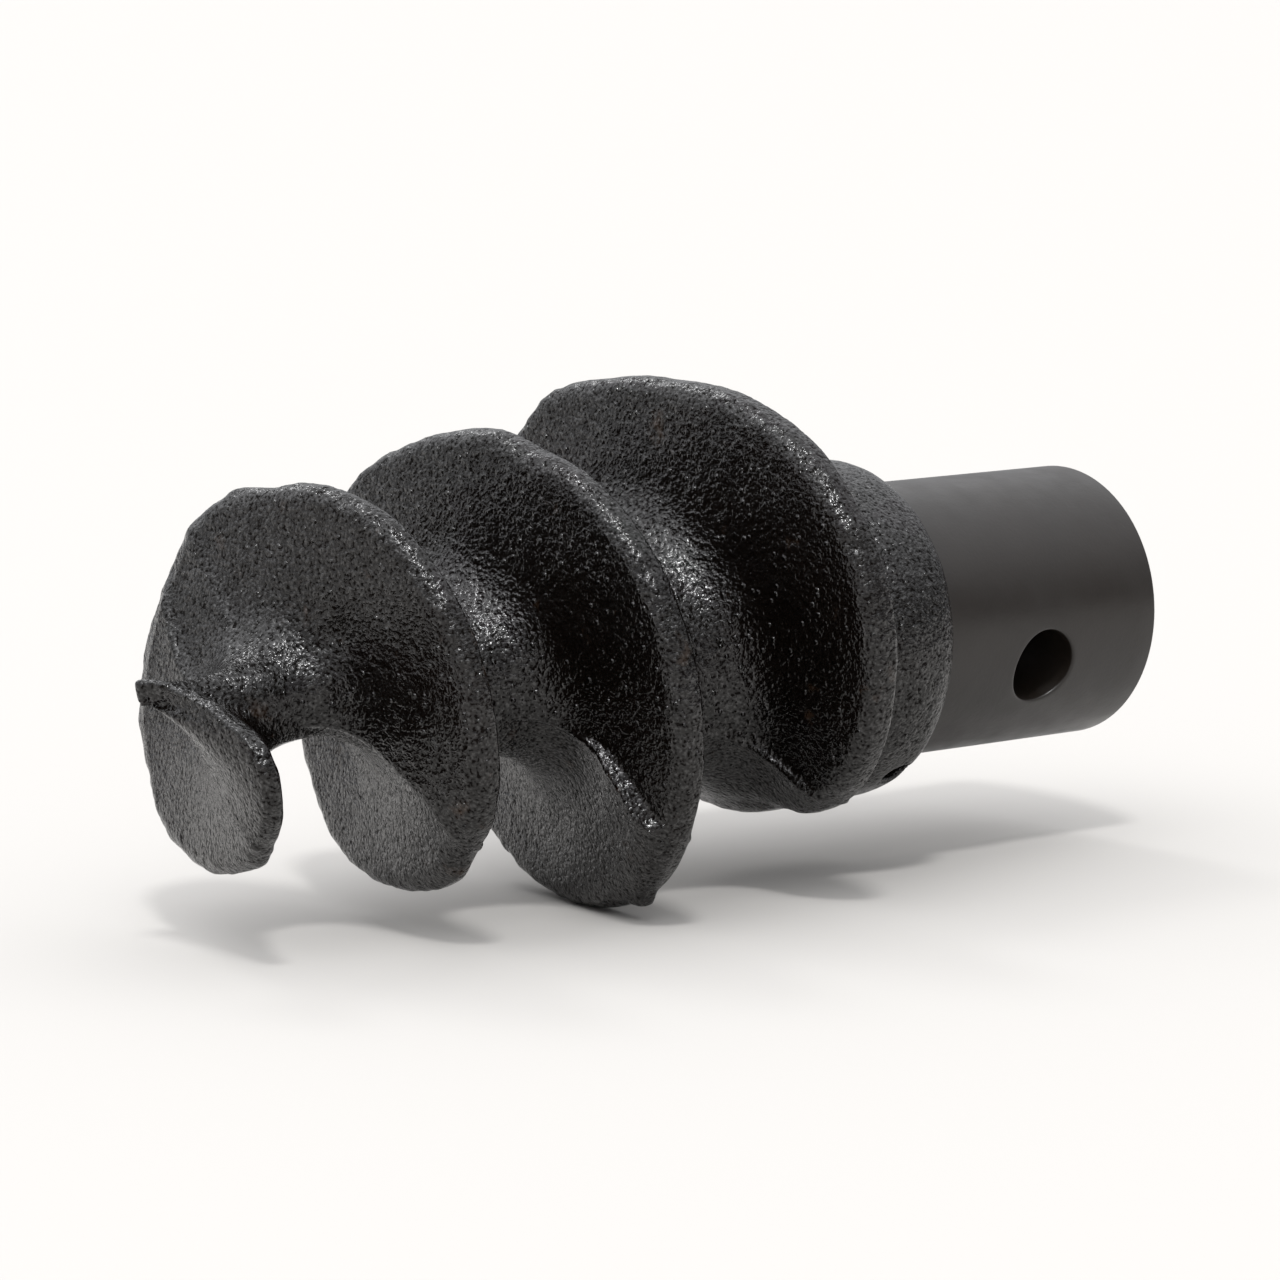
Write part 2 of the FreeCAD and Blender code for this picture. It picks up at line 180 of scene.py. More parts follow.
def flight_field(s, r, phi, ridge, ahead_of, drawn):
    """Signed distance, about, to one turn of the flight at this clock angle. Radii."""
    top = np.interp(phi, RIM_X, RIM_Y)
    front = flight_front(phi)
    # so that each half of the mould draws, the quarter before a parting plane is ruled
    # along the draw instead of following the helix, and stands forward of it
    turned = phi - ahead_of
    share = np.clip(r * np.sin(np.radians(turned)) / np.maximum(top, 0.05), 0.0, 1.0)
    ruled = flight_front(phi - turned + np.degrees(np.arcsin(share)))
    ready = np.clip((phi - 190.0) / 80.0, 0.0, 1.0)
    face = front + drawn * ready * np.where(turned > 0.0, ruled - front, 0.0)
    width = land_width(phi)
    slope = PITCH / (2 * math.pi) / np.maximum(r, 0.16)
    lean = 1.0 / np.sqrt(1.0 + slope * slope)
    deep = np.maximum(top - r, 0.0)
    size = np.clip((phi - 60.0) / 60.0, 0.25, 1.0)
    taper_f = (TAPER_F + SWAY * np.cos(np.radians(phi - SWAY_AT))) * size
    taper_b = (0.11 + 0.19 * np.exp(-(((phi - 150.0) / 90.0) ** 2))) * size
    # the blade springs from a nose above the axis, and its foot is swept back from it
    below = (0.165 - r * np.cos(np.radians(phi))) / 0.165
    swept = 0.06 * np.clip(below, 0.0, 1.3) * np.clip((95.0 - phi) / 60.0, 0.0, 1.0)
    front = front + swept
    face = face + swept
    # a shallow, worn band runs round the front face's outer edge
    left = np.exp(-(((phi - 285.0) / 32.0) ** 2))
    wide = 0.125 + 0.065 * left
    worn = smax(1.0 - deep / wide, 0.0, 0.08)
    worn = worn * (left + (1.0 - left) * worn)
    lip = 0.009 * left * np.exp(-(((deep - wide) / 0.022) ** 2))
    young = np.clip((185.0 - phi) / 40.0, 0.0, 1.0)
    lip = lip + 0.014 * young * np.exp(-(((deep - 0.045) / 0.026) ** 2))
    ridge = ridge * np.clip(deep / 0.2, 0.12, 1.0)
    bevel = (0.062 - 0.01 * left) * size * worn - lip
    d_front = (face + bevel - taper_f * deep - ridge - s) * lean
    d_back = (s - front - width - taper_b * deep) * lean
    slab = np.maximum(d_front, d_back)
    # the rim's front corner is worn back in a broad band, its back corner is tighter
    band = np.clip(1.0 - (s - front) / (0.75 * width + 1e-3), 0.0, 1.3)
    for at_c, high_c, wide_c in RIM_CORNERS:
        top = top + high_c * np.exp(-(((phi - at_c) / wide_c) ** 2))
    rim = r - (top - 0.02 * size * band ** 2)
    # the corner at the front is rounder than the one at the back
    ahead = np.clip(0.5 - (s - front - 0.5 * width) / (0.3 * width), 0.0, 1.0)
    soft = 0.014 + (0.016 + 0.012 * ahead) * size
    a, b = slab + soft, rim + soft
    d = np.minimum(np.maximum(a, b), 0.0) + np.hypot(np.maximum(a, 0), np.maximum(b, 0)) - soft
    out = np.maximum(PHI_LO - phi, phi - PHI_HI)
    return np.maximum(d, out / 57.3 * np.maximum(r, 0.05))


def cast_field(x, y, z):
    """Signed distance, about, to the casting's outside, in millimetres."""
    s = (x - TIP_X) / R_SH
    yy, zz = y / R_SH, z / R_SH
    r = np.hypot(yy, zz)
    clock = np.degrees(np.arctan2(-yy, zz)) + CLOCK0
    turn = np.floor((160.0 + (s - 0.481) / PITCH * 360.0 - clock) / 360.0)
    # the parting plane of the mould, and how far a place is from it
    late = np.clip((s - 2.6) / 0.5, 0.0, 1.0)
    plane = np.interp(s, PART_X, PART_Y) + np.interp(s, (1.4, 1.6, 3.8, 4.2), (0.0, 9.0, 9.0, 0.0)) * np.clip((r - 1.1) / 0.5, 0.0, 1.0)
    turned = np.radians(clock - plane)
    across = r * np.sin(turned)
    size = np.clip(s / 1.0, 0.0, 1.0) * np.clip((6.0 - s) / 0.6, 0.0, 1.0)
    side = 0.5 + 0.5 * np.cos(turned)
    ridge = size * side * 0.012 * np.exp(-np.hypot(across, 0.015) / 0.1)
    # on the two large flights the lower half's face stands proud of the upper half's
    proud = STEP_HIGH * late * np.clip((5.4 - s) / 1.6, 0.0, 1.0) * np.clip((r - 0.6) / 0.6, 0.0, 1.0)
    proud = proud * np.where(across < 0.0, np.clip(1.0 + across / 0.06, 0.0, 1.0), np.exp(-across / 0.35))
    # on the first one the ridge of the upper parting plane leans over to the far side
    bent = np.interp(r, (0.5, 0.79, 0.91, 1.03, 1.12, 1.28), (275.0, 287.0, 293.0, 299.0, 302.0, 306.0))
    arc = r * np.radians(np.mod(clock - bent + 180.0, 360.0) - 180.0)
    upper = 0.05 * np.where(arc < 0.0, np.exp(arc / 0.28), np.exp(-arc / 0.05))
    upper = upper * np.clip((1.4 - s) / 0.2, 0.0, 1.0) * np.clip((s - 0.5) / 0.2, 0.0, 1.0)
    d = None
    for step in (0, 1):
        phi = clock + 360.0 * (turn + step)
        # the parting plane that this place comes just before, or has just passed
        half = np.round((clock - plane + 45.0) / 180.0)
        ahead_of = phi - (clock - plane) + 180.0 * half - 90.0
        past = r * np.sin(np.radians(clock - plane - 180.0 * half))
        drawn = np.where(np.mod(half, 2.0) < 0.5, DRAW_LOW + (DRAW_LATE - DRAW_LOW) * late, DRAW_HIGH)
        drawn = drawn * (0.5 - 0.5 * np.tanh(past / 0.035))
        one = flight_field(s, r, phi, ridge + proud + upper, ahead_of, drawn)
        d = one if d is None else np.minimum(d, one)
    # the collar is a little fuller on its underside
    under = 0.5 - 0.5 * np.cos(np.radians(clock - 0.0))
    fuller = 0.03 * under * np.clip((s - 5.3) / 0.5, 0, 1) * np.clip((6.22 - s) / 0.12, 0, 1)
    core_r = np.interp(s, CORE_X, CORE_Y) + fuller
    # the point itself leans off the axis, towards 12 o'clock
    lean = 0.165 * np.clip(1.0 - s / 0.65, 0.0, 1.0) ** 2
    tilt = math.radians(-CLOCK0)
    rc = np.hypot(yy + lean * math.sin(tilt), zz - lean * math.cos(tilt))
    core = np.where(s < 0.0, np.hypot(rc, s) - 0.012, (rc - core_r) * 0.975)
    k = FILLET + FILLET_SWAY * np.cos(np.radians(clock - FILLET_AT))
    k = 0.07 + k * np.clip((s - 0.1) / 1.2, 0.0, 1.0)
    d = smin(d, core - 0.35 * ridge, k)
    # a thin fin stands along it, and the two halves don't quite meet
    tall = 0.013 * (0.12 + 0.88 * side ** 4)
    d = d - size * tall * np.exp(-((across / 0.032) ** 2))
    d = d - size * 0.004 * np.tanh(across / 0.03)
    # the point is blunt
    d = smax(d, -0.004 - s, 0.06)
    d = d * R_SH
    return smax(d, x - 0.0, 0.5)


PIN_A = math.radians(143.0)
PIN_DIR = np.array([0.0, -math.sin(PIN_A), math.cos(PIN_A)])


def casting_solid(x, y, z):
    d = cast_field(x, y, z)
    socket = np.maximum(np.hypot(y, z) - 12.75, -31.0 - x)
    d = smax(d, -socket, 0.4)
    along = y * PIN_DIR[1] + z * PIN_DIR[2]
    off = np.sqrt(np.maximum((x + 4.1) ** 2 + (y * y + z * z - along ** 2), 0.0))
    return smax(d, -(off - 2.06), 0.5)


def surface_nets(values, lines):
    """Quads round the zero of values on a grid of lines. Returns points and faces."""
    inside = values < 0.0
    nx, ny, nz = values.shape
    count = np.zeros((nx - 1, ny - 1, nz - 1), np.uint8)
    total = np.zeros((nx - 1, ny - 1, nz - 1, 3), np.float32)
    corner = {
        (i, j, k): (slice(i, nx - 1 + i), slice(j, ny - 1 + j), slice(k, nz - 1 + k))
        for i in (0, 1)
        for j in (0, 1)
        for k in (0, 1)
    }
    for c0 in corner:
        for axis in range(3):
            if c0[axis]:
                continue
            c1 = tuple(1 if a == axis else v for a, v in enumerate(c0))
            a, b = values[corner[c0]], values[corner[c1]]
            cross = inside[corner[c0]] != inside[corner[c1]]
            t = np.where(cross, a / np.where(cross, a - b, 1.0), 0.0)
            for other in range(3):
                total[..., other] += np.where(cross, t if other == axis else c0[other], 0.0)
            count += cross
    live = count > 0
    number = np.full(live.shape, -1, np.int64)
    number[live] = np.arange(int(live.sum()))
    cells = np.argwhere(live)
    place = cells + total[live] / count[live][:, None]
    points = np.stack(
        [np.interp(place[:, a], np.arange(len(lines[a])), lines[a]) for a in range(3)], 1
    )
    faces = []
    for axis in range(3):
        lo = [slice(1, -1)] * 3
        lo[axis] = slice(0, -1)
        hi = [slice(1, -1)] * 3
        hi[axis] = slice(1, None)
        a, b = inside[tuple(lo)], inside[tuple(hi)]
        for flip, hit in ((False, a & ~b), (True, ~a & b)):
            at = np.argwhere(hit)
            base = at + 1
            base[:, axis] -= 1
            u, v = (axis + 1) % 3, (axis + 2) % 3
            quad = []
            for du, dv in ((1, 1), (0, 1), (0, 0), (1, 0)):
                c = base.copy()
                c[:, u] -= du
                c[:, v] -= dv
                quad.append(number[c[:, 0], c[:, 1], c[:, 2]])
            quad = np.stack(quad, 1)
            faces.append(quad[:, ::-1] if flip else quad)
    return points, np.concatenate(faces)


def slope_of(field, p, e=0.06):
    g = np.empty_like(p)
    for a in range(3):
        q0, q1 = p.copy(), p.copy()
        q0[:, a] -= e
        q1[:, a] += e
        g[:, a] = (field(*q1.T) - field(*q0.T)) / (2 * e)
    return g


def grid_lines(low, high, step, fine, centre, reach):
    """Grid lines from low to high: fine apart within reach of centre, step apart elsewhere."""
    at, out = low, [low]
    while at < high:
        far = max(abs(at - centre) - reach, 0.0)
        at += min(step, fine + 0.12 * far)
        out.append(at)
    return np.array(out)


def casting_mesh(step):
    xs = grid_lines(-120.2, 1.2, step, 0.42 * step, -116.0, 7.0)
    ys = grid_lines(-42.0, 42.0, step, 0.55 * step, 0.0, 4.5)
    zs = grid_lines(-40.0, 42.0, step, 0.55 * step, 0.0, 4.5)
    values = np.empty((len(xs), len(ys), len(zs)), np.float32)
    yy, zz = np.meshgrid(ys, zs, indexing="ij")
    for i in range(0, len(xs), 8):
        part = xs[i : i + 8]
        values[i : i + 8] = casting_solid(part[:, None, None], yy[None], zz[None])
    p, f = surface_nets(values, (xs, ys, zs))
    for _ in range(3):
        g = slope_of(casting_solid, p)
        n2 = np.maximum((g * g).sum(1), 0.05)
        move = -(casting_solid(*p.T) / n2)[:, None] * g
        length = np.linalg.norm(move, axis=1)
        cap = np.minimum(1.0, 0.3 * step / np.maximum(length, 1e-9))
        p = p + move * cap[:, None]
    return p, f


# ------------------------------------------------------------------ noise
def hash3(i, j, k, seed):
    h = (i * 374761393 + j * 668265263 + k * 2147483647 + seed * 1274126177) & 0xFFFFFFFF
    h = (h ^ (h >> 13)) * 1274126177 & 0xFFFFFFFF
    h = (h ^ (h >> 16)) * 2246822519 & 0xFFFFFFFF
    return (h ^ (h >> 15)) & 0xFFFF


def noise3(p, wave, seed):
    """Smooth gradient noise, about -1 to 1, with features about wave across."""
    q = p / wave + 100.0
    i = np.floor(q).astype(np.int64)
    f = q - i
    w = f * f * f * (f * (f * 6 - 15) + 10)
    out = 0.0
    for a in (0, 1):
        for b in (0, 1):
            for c in (0, 1):
                h = hash3(i[:, 0] + a, i[:, 1] + b, i[:, 2] + c, seed)
                ang = (h & 255) * (2 * math.pi / 256)
                zc = ((h >> 8) & 255) / 127.5 - 1
                rr = np.sqrt(np.maximum(1 - zc * zc, 0))
                g = (
                    rr * np.cos(ang) * (f[:, 0] - a)
                    + rr * np.sin(ang) * (f[:, 1] - b)
                    + zc * (f[:, 2] - c)
                )
                out = out + g * (
                    (w[:, 0] if a else 1 - w[:, 0])
                    * (w[:, 1] if b else 1 - w[:, 1])
                    * (w[:, 2] if c else 1 - w[:, 2])
                )
    return out * 1.6


def roughen(p):
    """The cast skin: broad unevenness, pebbles, and lumps of paint along the rims."""
    g = slope_of(casting_solid, p)
    n = g / np.maximum(np.linalg.norm(g, axis=1), 1e-6)[:, None]
    s = (p[:, 0] - TIP_X) / R_SH
    r = np.hypot(p[:, 1], p[:, 2]) / R_SH
    clock = np.degrees(np.arctan2(-p[:, 1], p[:, 2])) + CLOCK0
    turn = np.round((160.0 + (s - 0.55) / PITCH * 360.0 - clock) / 360.0)
    top = np.interp(clock + 360 * turn, RIM_X, RIM_Y)
    ahead = s - 0.04 - flight_front(clock + 360 * turn)
    near_rim = np.clip(1.3 - np.abs(top - r) / 0.13, 0.0, 1.0) * (s < 5.4)
    near_rim = near_rim * np.clip(1.4 - np.abs(ahead) / 0.09, 0.0, 1.0)
    tip = np.clip(s / 0.6, 0.15, 1.0)
    skin = 0.15 * noise3(p, 8.5, 1) + 0.050 * noise3(p, 3.4, 2) + 0.024 * noise3(p, 1.6, 3)
    skin = skin + near_rim * (0.10 * noise3(p, 4.6, 4) + 0.20 * noise3(p, 2.3, 5) + 0.10 * noise3(p, 1.4, 6))
    # nothing moves inside the socket, in the pin's hole or at the rear rim
    along = p[:, 1] * PIN_DIR[1] + p[:, 2] * PIN_DIR[2]
    off = np.sqrt(np.maximum((p[:, 0] + 4.1) ** 2 + ((p[:, 1:] ** 2).sum(1) - along ** 2), 0))
    keep = np.clip((np.hypot(p[:, 1], p[:, 2]) - 13.2) / 1.5, 0, 1) + (p[:, 0] < -32.0)
    keep = np.minimum(keep, 1.0) * np.clip((off - 2.1) / 0.8, 0, 1) * np.clip((0.1 - p[:, 0]) / 0.8, 0, 1)
    return p + n * (skin * tip * keep)[:, None]


def mesh_object(name, points_mm, faces):
    mesh = bpy.data.meshes.new(name)
    points = np.asarray(points_mm, np.float64) * 0.001
    mesh.vertices.add(len(points))
    mesh.vertices.foreach_set("co", points.astype(np.float32).ravel())
    faces = np.asarray(faces)
    mesh.loops.add(faces.size)
    mesh.loops.foreach_set("vertex_index", faces.astype(np.int32).ravel())
    mesh.polygons.add(len(faces))
    mesh.polygons.foreach_set(
        "loop_start", np.arange(0, faces.size, faces.shape[1], dtype=np.int32)
    )
    mesh.update(calc_edges=True)
    mesh.validate()
    mesh.shade_smooth()
    obj = bpy.data.objects.new(name, mesh)
    bpy.context.scene.collection.objects.link(obj)
    return obj


STEP = 0.5
cast_p, cast_f = casting_mesh(STEP)
cast_p = roughen(cast_p)
casting = mesh_object("screw_casting_skin", cast_p, cast_f)
# ------------------------------------------------------------------ end of casting

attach(casting, "root")
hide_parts("screw_casting")


# ------------------------------------------------------------------ shank
def shank_mesh():
    """The turned bar: rounded end, a rounded mouth on the cross hole, and a spigot."""
    import bmesh

    bm = bmesh.new()
    R, L, XH, RH = 19.05, 40.5, 19.8, 5.3
    half, n = 8.5, 16
    ha = half / R
    lines_a = []
    for centre in (0.0, math.pi):
        lines_a += [centre - ha + 2 * ha * i / n for i in range(n + 1)]
        gap = math.pi - 2 * ha
        steps = 40
        lines_a += [centre + ha + gap * i / steps for i in range(1, steps)]
    lines_a = sorted(a % (2 * math.pi) for a in lines_a)
    lines_x = [0.0, 3.0, 6.0, 9.0]
    lines_x += [XH - half + 2 * half * i / n for i in range(n + 1)]
    lines_x += [31.0, 34.0, 37.0, L - 0.5]

    def at(a, x, rad):
        return Vector((x, rad * math.sin(a), rad * math.cos(a)))

    def quad(*ps):
        bm.faces.new([bm.verts.new(p) for p in ps])

    def in_patch(a0, a1, x0, x1):
        am, xm = (a0 + a1) / 2, (x0 + x1) / 2
        for centre in (0.0, math.pi, 2 * math.pi):
            if abs(am - centre) < ha and abs(xm - XH) < half:
                return True
        return False

    count = len(lines_a)
    for i in range(count):
        a0, a1 = lines_a[i], lines_a[(i + 1) % count]
        if a1 < a0:
            a1 += 2 * math.pi
        for x0, x1 in zip(lines_x, lines_x[1:]):
            if not in_patch(a0, a1, x0, x1):
                quad(at(a0, x0, R), at(a0, x1, R), at(a1, x1, R), at(a1, x0, R))
        # rounded end and its flat
        rings = [(L - 0.5, R), (L - 0.34, R - 0.03), (L - 0.17, R - 0.15), (L - 0.05, R - 0.31), (L, R - 0.5)]
        rings += [(L, q) for q in (17.0, 14.0, 10.5, 7.0, 3.5)]
        for (x0, r0), (x1, r1) in zip(rings, rings[1:]):
            quad(at(a0, x0, r0), at(a0, x1, r1), at(a1, x1, r1), at(a1, x0, r0))
        bm.faces.new([bm.verts.new(p) for p in (at(a0, L, 3.5), Vector((L, 0, 0)), at(a1, L, 3.5))])
        # shoulder and spigot
        rings = [(0.0, R), (0.0, 12.7), (-29.0, 12.7), (-30.0, 11.7), (-30.0, 4.0)]
        for (x0, r0), (x1, r1) in zip(rings, rings[1:]):
            quad(at(a1, x0, r0), at(a1, x1, r1), at(a0, x1, r1), at(a0, x0, r0))
        bm.faces.new([bm.verts.new(p) for p in (at(a1, -30.0, 4.0), Vector((-30.0, 0, 0)), at(a0, -30.0, 4.0))])
    # patches round the two mouths
    square = (
        [(-half + 2 * half * i / n, -half) for i in range(n)]
        + [(half, -half + 2 * half * i / n) for i in range(n)]
        + [(half - 2 * half * i / n, half) for i in range(n)]
        + [(-half, half - 2 * half * i / n) for i in range(n)]
    )
    for centre in (0.0, math.pi):
        rings = []
        for blend in (1.0, 0.8, 0.6, 0.4, 0.22, 0.1):
            ring = []
            for w, x in square:
                t = math.atan2(x, w)
                cw, cx = math.cos(t), math.sin(t)
                rad = RH + 0.45
                wa = math.asin(min(1, rad * cw / R)) * R
                p = (wa + (w - wa) * blend, rad * cx + (x - rad * cx) * blend)
                ring.append(at(centre + p[0] / R, XH + p[1], R))
            rings.append(ring)
        for grow, sink in ((0.45, 0.0), (0.27, 0.035), (0.12, 0.14), (0.03, 0.30), (0.0, 0.50)):
            ring = []
            for w, x in square:
                t = math.atan2(x, w)
                rad = RH + grow
                lat, ax = rad * math.cos(t), rad * math.sin(t)
                height = math.sqrt(R * R - lat * lat) - sink
                flip = 1 if centre == 0.0 else -1
                ring.append(Vector((XH + ax, flip * lat, flip * height)))
            rings.append(ring)
        if centre == 0.0:
            wall = rings[-1]
            for i in range(1, 17):
                ring = []
                for w, x in square:
                    t = math.atan2(x, w)
                    lat, ax = RH * math.cos(t), RH * math.sin(t)
                    height = math.sqrt(R * R - lat * lat) - 0.5
                    ring.append(Vector((XH + ax, lat, height * (1 - 2 * i / 16))))
                rings.append(ring)
        m = len(square)
        for r0, r1 in zip(rings, rings[1:]):
            for i in range(m):
                j = (i + 1) % m
                quad(r0[i], r0[j], r1[j], r1[i])
    bmesh.ops.remove_doubles(bm, verts=bm.verts, dist=1e-4)
    bmesh.ops.recalc_face_normals(bm, faces=bm.faces)
    # the hole's axis is built along Z; turn it to its clock angle
    turn = math.radians(108.3)
    bmesh.ops.transform(bm, matrix=Matrix.Rotation(turn, 4, "X"), verts=bm.verts)
    bmesh.ops.scale(bm, vec=(0.001, 0.001, 0.001), verts=bm.verts)
    mesh = bpy.data.meshes.new("shank_bar")
    bm.to_mesh(mesh)
    bm.free()
    mesh.shade_smooth()
    obj = bpy.data.objects.new("shank_bar", mesh)
    bpy.context.scene.collection.objects.link(obj)
    return obj


shank = shank_mesh()
edge = shank.modifiers.new("edges", "EDGE_SPLIT")
edge.split_angle = math.radians(38)
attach(shank, "root")
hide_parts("shank")


# ------------------------------------------------------------------ materials
def nodes_of(name):
    mat = bpy.data.materials.new(name)
    mat.use_nodes = True
    tree = mat.node_tree
    tree.nodes.clear()
    out = tree.nodes.new("ShaderNodeOutputMaterial")
    bsdf = tree.nodes.new("ShaderNodeBsdfPrincipled")
    tree.links.new(bsdf.outputs[0], out.inputs[0])
    coord = tree.nodes.new("ShaderNodeTexCoord")
    return mat, tree, bsdf, coord.outputs["Object"]


def noise(tree, vector, scale, detail=2.0, rough=0.5):
    n = tree.nodes.new("ShaderNodeTexNoise")
    n.inputs["Scale"].default_value = scale
    n.inputs["Detail"].default_value = detail
    n.inputs["Roughness"].default_value = rough
    tree.links.new(vector, n.inputs["Vector"])
    return n.outputs["Fac"]


def ramp(tree, fac, stops):
    n = tree.nodes.new("ShaderNodeValToRGB")
    cr = n.color_ramp
    while len(cr.elements) > 1:
        cr.elements.remove(cr.elements[-1])
    cr.elements[0].position, cr.elements[0].color = stops[0][0], stops[0][1]
    for pos, col in stops[1:]:
        e = cr.elements.new(pos)
        e.color = col
    tree.links.new(fac, n.inputs["Fac"])
    return n.outputs["Color"]


def math_node(tree, op, a, b=None):
    n = tree.nodes.new("ShaderNodeMath")
    n.operation = op
    for i, v in enumerate((a, b)):
        if v is None:
            continue
        if isinstance(v, (int, float)):
            n.inputs[i].default_value = v
        else:
            tree.links.new(v, n.inputs[i])
    return n.outputs[0]


def bump(tree, height, strength, distance, normal=None):
    n = tree.nodes.new("ShaderNodeBump")
    n.inputs["Strength"].default_value = strength
    n.inputs["Distance"].default_value = distance
    tree.links.new(height, n.inputs["Height"])
    if normal is not None:
        tree.links.new(normal, n.inputs["Normal"])
    return n.outputs["Normal"]


def grey(v, warm=0.0):
    return (v * (1 + warm), v, v * (1 - warm), 1.0)


def mix_colour(tree, fac, a, b):
    n = tree.nodes.new("ShaderNodeMix")
    n.data_type = "RGBA"
    tree.links.new(fac, n.inputs["Factor"])
    for socket, v in ((n.inputs[6], a), (n.inputs[7], b)):
        if isinstance(v, tuple):
            socket.default_value = v
        else:
            tree.links.new(v, socket)
    return n.outputs[2]


def warped(tree, vector, scale, amount, stretch=(1.0, 1.0, 1.0)):
    """Object coordinates pushed about by a noise, and stretched."""
    n = tree.nodes.new("ShaderNodeTexNoise")
    n.inputs["Scale"].default_value = scale
    n.inputs["Detail"].default_value = 2.0
    tree.links.new(vector, n.inputs["Vector"])
    off = tree.nodes.new("ShaderNodeVectorMath")
    off.operation = "MULTIPLY_ADD"
    tree.links.new(n.outputs["Color"], off.inputs[0])
    off.inputs[1].default_value = (amount, amount, amount)
    tree.links.new(vector, off.inputs[2])
    mul = tree.nodes.new("ShaderNodeVectorMath")
    mul.operation = "MULTIPLY"
    tree.links.new(off.outputs[0], mul.inputs[0])
    mul.inputs[1].default_value = stretch
    return mul.outputs[0]


mat, tree, bsdf, vec = nodes_of("cast_paint")
big = noise(tree, vec, 55.0, 3.0)
patch = noise(tree, vec, 170.0, 4.0, 0.6)
soft = noise(tree, vec, 240.0, 2.0, 0.5)
pebble = noise(tree, vec, 1050.0, 1.0, 0.4)
grain = noise(tree, vec, 2300.0, 1.0, 0.5)
beads = tree.nodes.new("ShaderNodeTexVoronoi")
beads.inputs["Scale"].default_value = 760.0
tree.links.new(vec, beads.inputs["Vector"])
bead = ramp(tree, beads.outputs["Distance"], [(0.0, grey(1.0)), (0.14, grey(0.7)), (0.27, grey(0.0))])
chosen = ramp(tree, beads.outputs["Color"], [(0.45, grey(0.0)), (0.55, grey(1.0))])
bead = math_node(tree, "MULTIPLY", bead, chosen)
black = ramp(tree, big, [(0.3, (0.0017, 0.0011, 0.0008, 1)), (0.7, (0.0027, 0.0016, 0.0011, 1))])
brown = ramp(tree, grain, [(0.3, (0.022, 0.011, 0.005, 1)), (0.7, (0.050, 0.024, 0.010, 1))])
rusty = ramp(tree, patch, [(0.64, grey(0.0)), (0.76, grey(0.5))])
tree.links.new(mix_colour(tree, rusty, black, brown), bsdf.inputs["Base Color"])
tops = math_node(tree, "ADD", math_node(tree, "MULTIPLY", pebble, 0.2), math_node(tree, "MULTIPLY", grain, 0.8))
rough = ramp(tree, patch, [(0.30, grey(0.12)), (0.60, grey(0.19)), (0.75, grey(0.36))])
tree.links.new(rough, bsdf.inputs["Roughness"])
n1 = bump(tree, soft, 1.0, 0.00013)
n2 = bump(tree, pebble, 1.0, 0.00024, n1)
n3 = bump(tree, grain, 1.0, 0.00016, n2)
n4 = bump(tree, bead, 1.0, 0.00026, n3)
tree.links.new(n4, bsdf.inputs["Normal"])
# painted shade: the specular level is lowered in the pits between the bumps' tops, standing in for the shade
# that falls in them; where this map is left out, the plain value stands in
level = ramp(tree, tops, [(0.36, grey(0.06)), (0.44, grey(0.40)), (0.56, grey(0.52)), (0.64, grey(0.90))])
bsdf.inputs["Specular IOR Level"].default_value = 0.46
tree.links.new(level, bsdf.inputs["Specular IOR Level"])
casting.data.materials.append(mat)

mat, tree, bsdf, vec = nodes_of("shank_paint")
big = noise(tree, vec, 45.0, 4.0)
blotch = noise(tree, vec, 240.0, 3.0)
fine = noise(tree, vec, 2200.0, 2.0)
colour = ramp(tree, big, [(0.3, (0.0085, 0.0064, 0.0050, 1)), (0.7, (0.0115, 0.0084, 0.0064, 1))])
tree.links.new(colour, bsdf.inputs["Base Color"])
rough = ramp(tree, blotch, [(0.3, grey(0.30)), (0.7, grey(0.40))])
tree.links.new(rough, bsdf.inputs["Roughness"])
n1 = bump(tree, blotch, 0.10, 0.0006)
n2 = bump(tree, fine, 0.16, 0.0001, n1)
tree.links.new(n2, bsdf.inputs["Normal"])
shank.data.materials.append(mat)

mat, tree, bsdf, vec = nodes_of("pin_steel")
big = noise(tree, vec, 700.0, 3.0)
colour = ramp(tree, big, [(0.3, grey(0.012, 0.15)), (0.7, grey(0.03, 0.2))])
tree.links.new(colour, bsdf.inputs["Base Color"])
rough = ramp(tree, big, [(0.3, grey(0.4)), (0.7, grey(0.6))])
tree.links.new(rough, bsdf.inputs["Roughness"])
tree.links.new(bump(tree, big, 0.3, 0.0002), bsdf.inputs["Normal"])
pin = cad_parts["spring_pin"]
pin.data.materials.clear()
pin.data.materials.append(mat)

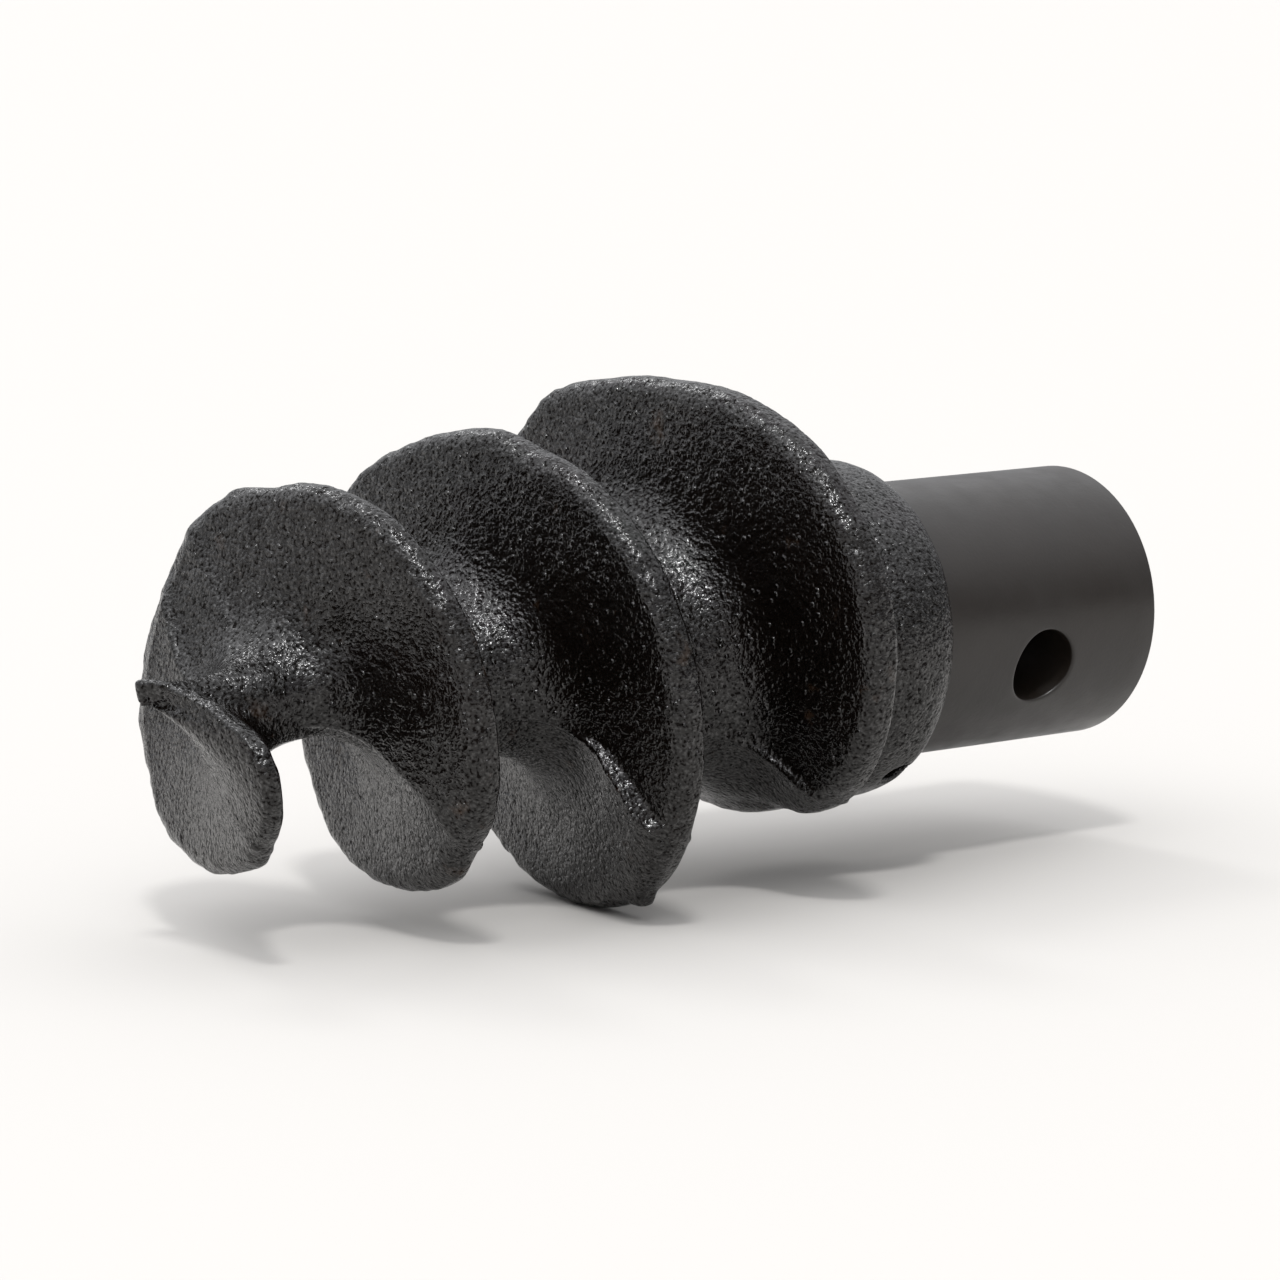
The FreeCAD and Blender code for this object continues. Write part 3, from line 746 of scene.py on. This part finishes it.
# ------------------------------------------------------------------ stage and light
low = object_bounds()[0].z
mesh = bpy.data.meshes.new("floor")
w = 14.0
mesh.from_pydata([(-w, -w, low), (w, -w, low), (w, w, low), (-w, w, low)], [], [(0, 1, 2, 3)])
floor = bpy.data.objects.new("floor", mesh)
bpy.context.scene.collection.objects.link(floor)
mat, tree, bsdf, vec = nodes_of("floor_paper")
bsdf.inputs["Base Color"].default_value = (0.52, 0.505, 0.485, 1.0)
bsdf.inputs["Roughness"].default_value = 0.9
bsdf.inputs["Specular IOR Level"].default_value = 0.1
floor.data.materials.append(mat)

# the studio: bright overhead, dimmer towards the horizon, dimmest on the camera's side
world = bpy.data.worlds.new("studio")
bpy.context.scene.world = world
world.use_nodes = True
tree = world.node_tree
sky = tree.nodes.new("ShaderNodeTexCoord")
part = tree.nodes.new("ShaderNodeSeparateXYZ")
tree.links.new(sky.outputs["Generated"], part.inputs[0])
height = ramp(
    tree,
    part.outputs["Z"],
    [(0.0, grey(0.30)), (0.12, grey(0.33)), (0.26, grey(0.42)), (0.42, grey(0.67)),
     (0.64, grey(0.94)), (1.0, grey(1.0))],
)
rear = math_node(tree, "MULTIPLY", part.outputs["Y"], 0.38)
rear = math_node(tree, "MULTIPLY", rear, math_node(tree, "SUBTRACT", 1.0, part.outputs["Z"]))
rear = math_node(tree, "ADD", rear, 1.0)
rear = math_node(tree, "SUBTRACT", rear, math_node(tree, "MULTIPLY", part.outputs["X"], 0.30))
level = math_node(tree, "MULTIPLY", height, rear)
ground = tree.nodes["Background"]
ground.inputs["Color"].default_value = (0.985, 0.995, 1.02, 1.0)
tree.links.new(math_node(tree, "MULTIPLY", level, 1.55), ground.inputs["Strength"])


def lamp(name, azimuth, elevation, spread, strength, colour=(1, 1, 1)):
    """A soft round source at this heading, in degrees, as wide as spread."""
    data = bpy.data.lights.new(name, "SUN")
    data.angle = math.radians(spread)
    data.energy = strength
    data.color = colour
    obj = bpy.data.objects.new(name, data)
    bpy.context.scene.collection.objects.link(obj)
    a, e = math.radians(azimuth), math.radians(elevation)
    toward = Vector((math.cos(e) * math.cos(a), math.cos(e) * math.sin(a), math.sin(e)))
    obj.location = toward
    obj.rotation_mode = "QUATERNION"
    obj.rotation_quaternion = toward.to_track_quat("Z", "Y")
    return obj


lamp("key", -126.0, 58.0, 7.0, 1.25)
lamp("wide", -140.0, 56.0, 46.0, 0.78)
lamp("rim", 80.0, 48.0, 14.0, 0.40)
bpy.context.scene.view_settings.view_transform = "Standard"
